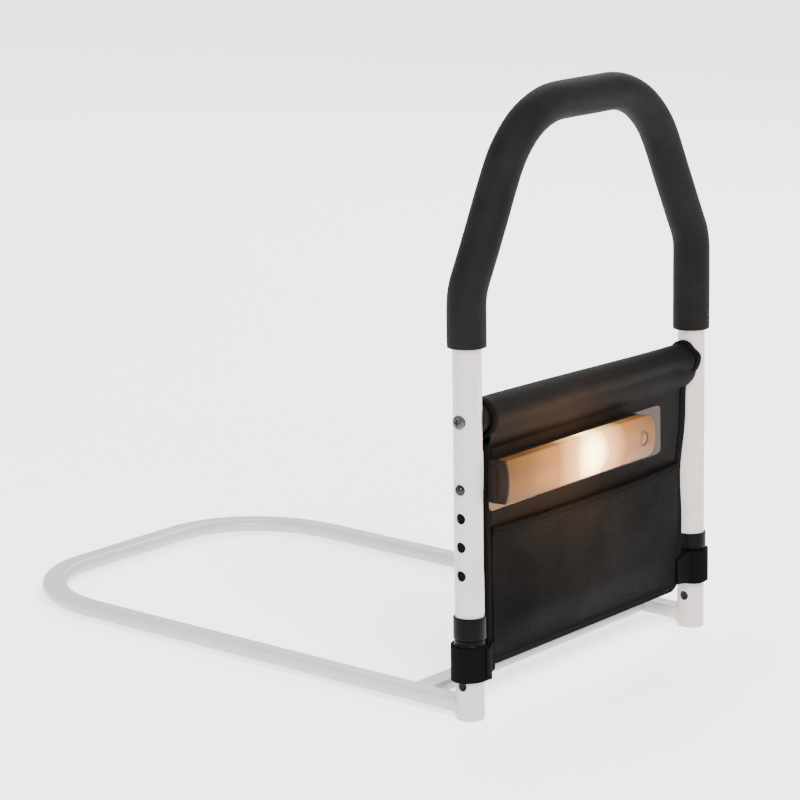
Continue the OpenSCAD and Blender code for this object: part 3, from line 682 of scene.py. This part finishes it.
def loop_point(x, angle, grow):
    """A point on the sleeve: angle runs from the front seam over the top to the back."""
    mouth = ease((x - (sleeve_high.x - 34 * MM)) / (34 * MM))
    hang = ease(-math.sin(angle) * 0.5 + 0.5)
    sag = ripple(x, angle * 0.02, 5, 26) * 0.5 + ripple(x, angle * 0.03, 9, 70) * 0.18
    over = max(0.0, math.sin(angle))
    snug = roll_radius(x) + 0.8 * MM
    loose = snug + (1.2 + 0.8 * hang) * MM + mouth * (2.4 + 2.8 * hang) * MM
    ear = (1.6 * MM * ease((x - sleeve_high.x + 13 * MM) / (13 * MM))
           * max(0.0, math.cos(angle - math.radians(118))))
    radius = between(loose, snug, ease(over * 1.6)) + grow + ear + sag * MM * between(0.9, 0.2, over)
    return Vector((x, radius * math.cos(angle), bar_z + radius * math.sin(angle)))


FRONT = math.radians(-138)        # where the cloth leaves the loop at the front, as an angle from +Y
BACK = math.radians(-66)
PANEL_SHARE = 0.62                # the share of the sheet that is the hanging panel


def bag_point(u, v):
    """The bag's one sheet: up the panel from the lower edge, then once round the bar."""
    if v < PANEL_SHARE:
        share = v / PANEL_SHARE
        z = between(bag_low, seam_z, share)
        x = between(edge_x(-1, z), edge_x(1, z), u)
        return Vector((x, panel_y + panel_offset(x, z), z))
    share = (v - PANEL_SHARE) / (1 - PANEL_SHARE)
    x = between(sleeve_low.x, sleeve_high.x, u)
    seam = Vector((between(edge_x(-1, seam_z), edge_x(1, seam_z), u), panel_y, seam_z))
    lead = 0.15
    if share < lead:
        point = loop_point(x, FRONT, 0)
        way = ease(share / lead)
        bulge = Vector((0, -2.6 * MM * math.sin(way * math.pi), 0))
        return seam.lerp(point, way) + bulge
    if share > 1 - lead:
        point = loop_point(x, BACK - 2 * math.pi, 0)
        behind = seam + Vector((0, 1.5 * MM, 0))
        return point.lerp(behind, ease((share - 1 + lead) / lead))
    turn = (share - lead) / (1 - 2 * lead)
    return loop_point(x, between(FRONT, BACK - 2 * math.pi, turn), 0)


def bag_cloth():
    loop_l = math.radians(288) * loop_r + 32 * MM
    panel_l = seam_z - bag_low
    width = panel_high.x - panel_low.x
    bag = sheet_of(110, 130, bag_point, (width, panel_l + loop_l), cloth_t)
    stand(bag, "bag_cloth_body", CLOTH, "handle", "bag_panel", "bag_sleeve")
    return bag, (width + 6 * MM, panel_l + loop_l)


def pocket_point(u, v):
    """The pocket: drawn in at its sides and its lower edge, and a little slack at its mouth."""
    low_z = bag_low + 7.5 * MM
    top_z = pocket_high.z - 0.5 * MM
    z = between(low_z, top_z, v) - 1.5 * MM * math.sin(math.pi * u) * v
    x = between(edge_x(-1, z) + 6.5 * MM, edge_x(1, z) - 6.5 * MM, u)
    sides = 1 - abs(2 * u - 1) ** 5
    rise = ease(v / 0.28) * (1 - 0.3 * ease((v - 0.5) / 0.5))
    depth = 1.0 + 6.2 * sides * rise
    depth += (ripple(x, z, 2, 18) * 1.2 + ripple(x, z, 6, 48) * 0.35) * sides * ease(v * 3)
    return Vector((x, panel_y - cloth_t / 2 - depth * MM, z))


def pocket_mesh():
    size = (pocket_high.x - pocket_low.x, pocket_high.z - pocket_low.z)
    pocket = sheet_of(120, 70, pocket_point, size, 1.2 * MM)
    stand(pocket, "pocket_mesh", MESH, "handle", "mesh_pocket")
    return pocket, size


# a tape folded over an edge: pairs of (inwards from the edge, forwards),
# as shares of width and half thickness
TAPE = [(1.0, 0.25), (0.97, 0.72), (0.55, 0.95), (0.12, 1.0), (-0.1, 0.7), (-0.16, 0.0)]
TAPE_RING = TAPE + [(a, -b) for a, b in reversed(TAPE[:-1])]


def swept_tape(points, inwards, forwards, width, thick, closed=False):
    """A folded tape along points; inwards and forwards give its directions at each point."""
    ring = len(TAPE_RING)
    length = 0.0
    vertices = []
    along = []
    for i, point in enumerate(points):
        length += (point - points[i - 1]).length if i else 0.0
        along.append(length)
        for a, b in TAPE_RING:
            vertices.append(point + inwards[i] * (a * width) + forwards[i] * (b * thick / 2))
    faces = []
    count = len(points)
    for i in range(count if closed else count - 1):
        j = (i + 1) % count
        for k in range(ring):
            n = (k + 1) % ring
            faces.append((i * ring + k, i * ring + n, j * ring + n, j * ring + k))
    if not closed:
        faces.append(tuple(reversed(range(ring))))
        faces.append(tuple((count - 1) * ring + k for k in range(ring)))
    mesh = bpy.data.meshes.new("tape")
    mesh.from_pydata(vertices, [], faces)
    layer = mesh.uv_layers.new(name="UVMap")
    for polygon in mesh.polygons:
        for loop in polygon.loop_indices:
            index = mesh.loops[loop].vertex_index
            k = index % ring
            layer.data[loop].uv = (k * width * 2 / ring, along[index // ring])
    piece = bpy.data.objects.new("tape", mesh)
    bpy.context.scene.collection.objects.link(piece)
    select_only(piece)
    bpy.ops.object.mode_set(mode="EDIT")
    bpy.ops.mesh.select_all(action="SELECT")
    bpy.ops.mesh.normals_make_consistent(inside=False)
    bpy.ops.object.mode_set(mode="OBJECT")
    smooth(piece, 60)
    return piece


def bag_edge_path():
    """Points down the left edge, along the bottom and up the right edge of the bag."""
    points = []
    top = seam_z + 6 * MM
    low = bag_low
    for i in range(56):
        z = between(top, low + corner_r, i / 55)
        points.append(Vector((edge_x(-1, z), panel_y + panel_offset(edge_x(-1, z), z), z)))
    left = edge_x(-1, low + corner_r)
    right = edge_x(1, low + corner_r)
    for i in range(1, 13):
        angle = math.pi / 2 * i / 13
        points.append(Vector((left + corner_r * (1 - math.cos(angle)), panel_y,
                              low + corner_r * (1 - math.sin(angle)))))
    for i in range(60):
        points.append(Vector((between(left + corner_r, right - corner_r, i / 59), panel_y, low)))
    for i in range(1, 13):
        angle = math.pi / 2 * i / 13
        points.append(Vector((right - corner_r * (1 - math.sin(angle)), panel_y,
                              low + corner_r * (1 - math.cos(angle)))))
    for i in range(60):
        z = between(low + corner_r, top, i / 59)
        points.append(Vector((edge_x(1, z), panel_y + panel_offset(edge_x(1, z), z), z)))
    return points


def inward_directions(points):
    """At each point, the direction in the bag's plane that is square to the path and points into it."""
    result = []
    last = len(points) - 1
    for i in range(len(points)):
        way = (points[min(i + 1, last)] - points[max(i - 1, 0)]).normalized()
        result.append(Vector((-way.z, 0, way.x)).normalized())
    return result


def stitches(name, points, forwards, pitch, length, radius):
    """A row of short thread stitches along points, each a small capsule, laid on the tape's face."""
    nothing_selected()
    bpy.ops.mesh.primitive_uv_sphere_add(segments=6, ring_count=5, radius=radius)
    one = bpy.context.active_object
    base = [v.co.copy() for v in one.data.vertices]
    base_faces = [tuple(p.vertices) for p in one.data.polygons]
    bpy.data.objects.remove(one)
    vertices = []
    faces = []
    travelled = 0.0
    following = pitch
    for i in range(1, len(points)):
        step = points[i] - points[i - 1]
        while travelled + step.length >= following:
            share = (following - travelled) / step.length
            middle = points[i - 1].lerp(points[i], share)
            way = step.normalized()
            out = forwards[i]
            side = way.cross(out).normalized()
            start = len(vertices)
            for co in base:
                stretch = co.z * (length / (2 * radius))
                vertices.append(middle + way * stretch + side * co.x + out * co.y * 0.7)
            faces.extend(tuple(start + k for k in face) for face in base_faces)
            following += pitch
        travelled += step.length
    mesh = bpy.data.meshes.new(name)
    mesh.from_pydata(vertices, [], faces)
    piece = bpy.data.objects.new(name, mesh)
    bpy.context.scene.collection.objects.link(piece)
    smooth(piece, 60)
    return piece


def bag_trim():
    """The folded tape round the bag's edge and round both mouths of the sleeve, with its stitches."""
    width = 8 * MM
    thick = 3.4 * MM
    points = bag_edge_path()
    inwards = inward_directions(points)
    front = [Vector((0, -1, 0))] * len(points)
    tape = swept_tape(points, inwards, front, width, thick)
    stand(tape, "bag_edge_tape", BINDING, "handle", "bag_binding")
    for row, share in (("outer", 0.35), ("inner", 0.8)):
        line = [p + q * (share * width) + Vector((0, -thick / 2 * 0.97, 0))
                for p, q in zip(points, inwards)]
        thread = stitches("bag_stitches_" + row, line, front, *STITCH)
        stand(thread, "bag_stitches_" + row, THREAD, "handle")
    for name, x, side in (("left", sleeve_low.x, 1), ("right", sleeve_high.x, -1)):
        ring = []
        out = []
        for i in range(64):
            angle = 2 * math.pi * i / 64
            centre = Vector((x, 0, bar_z))
            point = loop_point(x, angle, 0)
            ring.append(point)
            out.append((point - centre).normalized())
        mouth = swept_tape(ring, [Vector((side, 0, 0))] * 64, out, 6.5 * MM, 3 * MM, True)
        stand(mouth, "sleeve_tape_" + name, BINDING, "handle")
        line = [p + Vector((side * 4.6 * MM, 0, 0)) + o * 1.45 * MM for p, o in zip(ring, out)]
        thread = stitches("sleeve_stitches_" + name, line + line[:1], out + out[:1], *STITCH)
        stand(thread, "sleeve_stitches_" + name, THREAD, "handle")
    return tape


def pocket_trim():
    """The folded tape over the pocket's mouth, and the seam where the sleeve is closed."""
    points = [pocket_point(i / 80, 1.0) for i in range(81)]
    down = [Vector((0, 0, -1))] * 81
    front = [Vector((0, -1, 0))] * 81
    tape = swept_tape(points, down, front, 7 * MM, 2.6 * MM)
    stand(tape, "pocket_mouth_tape", BINDING, "handle", "pocket_hem")
    line = [p + Vector((0, -1.3 * MM, -5 * MM)) for p in points]
    thread = stitches("pocket_stitches", line, front, *STITCH)
    stand(thread, "pocket_stitches", THREAD, "handle")
    for row, drop in (("upper", 1.5), ("lower", 4.5)):
        seam = []
        for i in range(81):
            z = seam_z - drop * MM
            x = between(edge_x(-1, z) + 8 * MM, edge_x(1, z) - 8 * MM, i / 80)
            seam.append(Vector((x, panel_y + panel_offset(x, z) - cloth_t / 2 - 0.1 * MM, z)))
        thread = stitches("sleeve_seam_" + row, seam, front, *STITCH)
        stand(thread, "sleeve_seam_" + row, THREAD, "handle")
    return tape


# ---- straps ----

def strap_point(side, tab_x, low, width, u, v):
    """v runs along the strap: off the bag, round the collar once, and over itself."""
    start = math.radians(-34)
    inner = collar_r + 1.7 * MM
    tab_share = 0.12
    reach = math.radians(STRAP_TURN)
    if v < tab_share:
        share = v / tab_share
        radius = inner
        joint = Vector((math.cos(start) * radius, math.sin(start) * radius, 0))
        tab = Vector((abs(tab_x - side * post_x), -7.2 * MM, 0))
        point = tab.lerp(joint, share)
        narrow = between(0.78, 1.0, ease(share))
    else:
        share = (v - tab_share) / (1 - tab_share)
        angle = start - reach * share
        radius = inner + 1.75 * MM * ease((share * STRAP_TURN - 300) / 60) + 0.25 * MM * math.sin(share * 23)
        point = Vector((math.cos(angle) * radius, math.sin(angle) * radius, 0))
        narrow = 1 - 0.12 * ease((share - 0.9) / 0.1)
    middle = low + width / 2
    z = middle + (u - 0.5) * width * narrow + 0.5 * MM * math.sin(v * 11)
    return Vector((side * (post_x - point.x), point.y, z))


def strap(name, node, side, tab_x, body):
    low, high = post_box(node)
    width = high.z - low.z

    def place(u, v):
        return strap_point(side, tab_x, low.z, width, u, v)

    length = math.radians(STRAP_TURN) * (collar_r + 2.5 * MM) + 16 * MM
    piece = sheet_of(10, 150, place, (width, length), 1.2 * MM)
    stand(piece, name, WEBBING, body, node)
    return piece, (width, length)


# ---- lamp ----

def film_point(u, v):
    start = film_low.x - 7 * MM
    x = between(start, film_high.x, u)
    z = between(film_low.z, film_high.z, v)
    corner = 5 * MM
    for edge, way in ((film_low.z, 1), (film_high.z, -1)):
        drop = corner - (z - edge) * way
        if drop > 0:
            cut = corner - math.sqrt(corner * corner - drop * drop)
            x = between(start + cut, film_high.x - cut, u)
    over_tape = ease((film_low.x + 3 * MM - x) / (5 * MM))
    y = (film_low.y + film_high.y) / 2 - (0.4 + 0.7 * over_tape) * MM + 0.25 * MM * ripple(x, z, 4, 22)
    return Vector((x, y, z))


def lamp_film():
    size = (film_high.x - film_low.x, film_high.z - film_low.z)
    film = sheet_of(80, 24, film_point, size, 0.45 * MM)
    stand(film, "lamp_film", FILM, "handle", "lamp_sheet")


def lamp_shells():
    middle = between(lens_low.x, lens_high.x, LIT_SHARE)
    half = LIT_SHARE * (lens_high.x - lens_low.x)
    height = (POST @ Vector((0, lens_low.y, (lens_low.z + lens_high.z) / 2))).z
    softened("lamp_diffuser", 0.6 * MM, diffuser_finish(middle, height, half), 3)
    softened("lamp_end_cap", 0.4 * MM, CAP)
    softened("lamp_tray", 0.4 * MM, SHELL)
    softened("left_collar", 0.35 * MM, BLACK)
    softened("right_collar", 0.35 * MM, BLACK)


# ---- welds ----

def weld_bead(name, side):
    """The small fillet where a rail meets its stub, along the rail's flat-sided outline."""
    hoop_low, hoop_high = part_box("base_hoop")
    rail_w = 21 * MM
    rail_h = hoop_high.z - hoop_low.z
    middle_z = (hoop_low.z + hoop_high.z) / 2
    points = []
    for i in range(96):
        angle = 2 * math.pi * i / 96
        x = (rail_w - rail_h) / 2 * (1 if math.cos(angle) > 0 else -1) + rail_h / 2 * math.cos(angle)
        z = middle_z + rail_h / 2 * math.sin(angle)
        y = math.sqrt(max(0, tube_r * tube_r - x * x)) + z * math.tan(lean)
        points.append(Vector((side * post_x + x, foot_y + y, z)))
    curve = bpy.data.curves.new(name, "CURVE")
    curve.dimensions = "3D"
    curve.bevel_depth = 1.1 * MM
    curve.bevel_resolution = 3
    spline = curve.splines.new("POLY")
    spline.points.add(len(points) - 1)
    for i, point in enumerate(points):
        spline.points[i].co = (*point, 1)
        spline.points[i].radius = 1 + 0.18 * math.sin(i * 0.9) + 0.1 * math.sin(i * 2.3)
    spline.use_cyclic_u = True
    piece = bpy.data.objects.new(name, curve)
    bpy.context.scene.collection.objects.link(piece)
    select_only(piece)
    bpy.ops.object.convert(target="MESH")
    piece = bpy.context.active_object
    smooth(piece, 60)
    finish_off(piece, WHITE, "base")


# ---- the whole rail ----

camera()
studio()
dress_cad_nodes()

grip = handle_foam()
finish_foam(grip)
stand(grip, "handle_foam", FOAM, "handle", "foam_grip")
bar_foam = bar_foam_roll()

bag, bag_flat = bag_cloth()
pocket, pocket_flat = pocket_mesh()
bag_tape = bag_trim()
pocket_tape = pocket_trim()
left_strap, left_flat = strap("left_strap_loop", "left_strap", -1, panel_low.x + 6 * MM, "handle")
right_strap, right_flat = strap("right_strap_loop", "right_strap", 1, panel_high.x - 16 * MM, "handle")
lamp_film()
lamp_shells()
weld_bead("left_weld", -1)
weld_bead("right_weld", 1)
